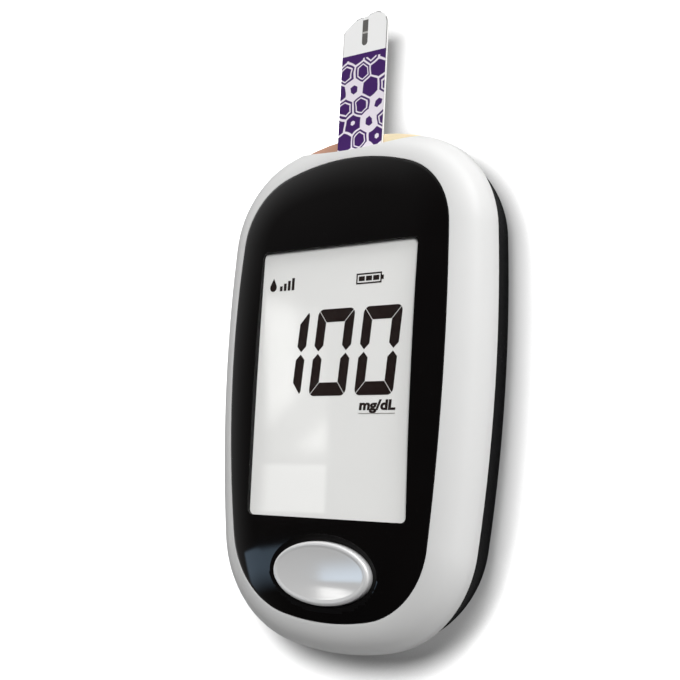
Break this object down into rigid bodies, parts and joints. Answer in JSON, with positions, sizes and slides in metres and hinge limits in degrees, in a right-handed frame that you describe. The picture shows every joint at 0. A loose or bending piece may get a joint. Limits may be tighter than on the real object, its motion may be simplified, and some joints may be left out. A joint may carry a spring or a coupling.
{
  "type": "blood glucose meter",
  "caption": "Pocket meter with a bowed white casing, glossy black front, large digit display, oval push button and a test strip standing out of its end port.",
  "frame": {"origin": "middle of the flat back, on the outer face of the battery door", "axes": "+X across the meter to the right as its display is read, +Y lengthwise towards the strip port, +Z out of the display"},
  "size_m": [0.0538, 0.1083, 0.0204],
  "materials": {
    "white_shell": "gloss",
    "black_shell": "gloss",
    "black_panel": "gloss",
    "clear_window": "gloss",
    "amber_bezel": "satin",
    "silver_button": "satin",
    "switch_black": "matte",
    "switch_ivory": "satin",
    "polariser": "satin",
    "lcd_dark": "satin",
    "lcd_glass": "gloss",
    "lcd_reflector": "matte",
    "frame_white": "matte",
    "zebra_rubber": "matte",
    "board_green": "satin",
    "chip_black": "matte",
    "small_parts_tan": "satin",
    "buzzer_black": "satin",
    "connector_black": "satin",
    "contact_gold": "polished",
    "strip_white": "satin",
    "strip_carbon": "matte",
    "strip_reagent": "matte",
    "strip_clear": "gloss",
    "strip_violet": "satin",
    "cell_sleeve": "gloss",
    "spring_steel": "satin",
    "plate_nickel": "satin",
    "screw_steel": "satin"
  },
  "bodies": {
    "meter": {"rear_shell": "black_shell", "front_shell": "white_shell", "front_panel": "black_panel", "display_window": "clear_window", "port_bezel": "amber_bezel", "switch_case": "switch_black", "lcd_polariser": "polariser", "lcd_segments": "lcd_dark", "lcd_front_glass": "lcd_glass", "lcd_rear_glass": "lcd_glass", "lcd_reflector": "lcd_reflector", "lcd_frame": "frame_white", "zebra_strip": "zebra_rubber", "main_board": "board_green", "processor": "chip_black", "analog_chip": "chip_black", "small_parts": "small_parts_tan", "buzzer": "buzzer_black", "strip_connector": "connector_black", "strip_contacts": "contact_gold", "battery_left": "cell_sleeve", "battery_right": "cell_sleeve", "battery_springs": "spring_steel", "battery_plates": "plate_nickel", "screws": "screw_steel"},
    "button": {"button_cap": "silver_button"},
    "plunger": {"switch_plunger": "switch_ivory"},
    "strip": {"strip_base": "strip_white", "strip_tracks": "strip_carbon", "strip_reagent": "strip_reagent", "strip_spacer": "strip_white", "strip_cover": "strip_clear", "strip_label": "strip_violet"},
    "door": {"battery_door": "black_shell"}
  },
  "joints": [
    {"name": "button_press", "type": "slide", "parent": "meter", "child": "button", "axis": [0, 0, -1], "range_m": [0, 0.0006], "stiffness_N_per_m": 2000, "springref_m": -0.0003},
    {"name": "plunger_press", "type": "slide", "parent": "meter", "child": "plunger", "axis": [0, 0, -1], "range_m": [0, 0.0006]},
    {"name": "strip_pull", "type": "slide", "parent": "meter", "child": "strip", "axis": [0, 1, 0], "range_m": [0, 0.012]},
    {"name": "door_hinge", "type": "hinge", "parent": "meter", "child": "door", "pos_m": [0, 0.01785, 0], "axis": [1, 0, 0], "range_deg": [0, 80]}
  ],
  "couplings": [
    {"joint": "plunger_press", "follows": "button_press", "ratio": 1}
  ]
}
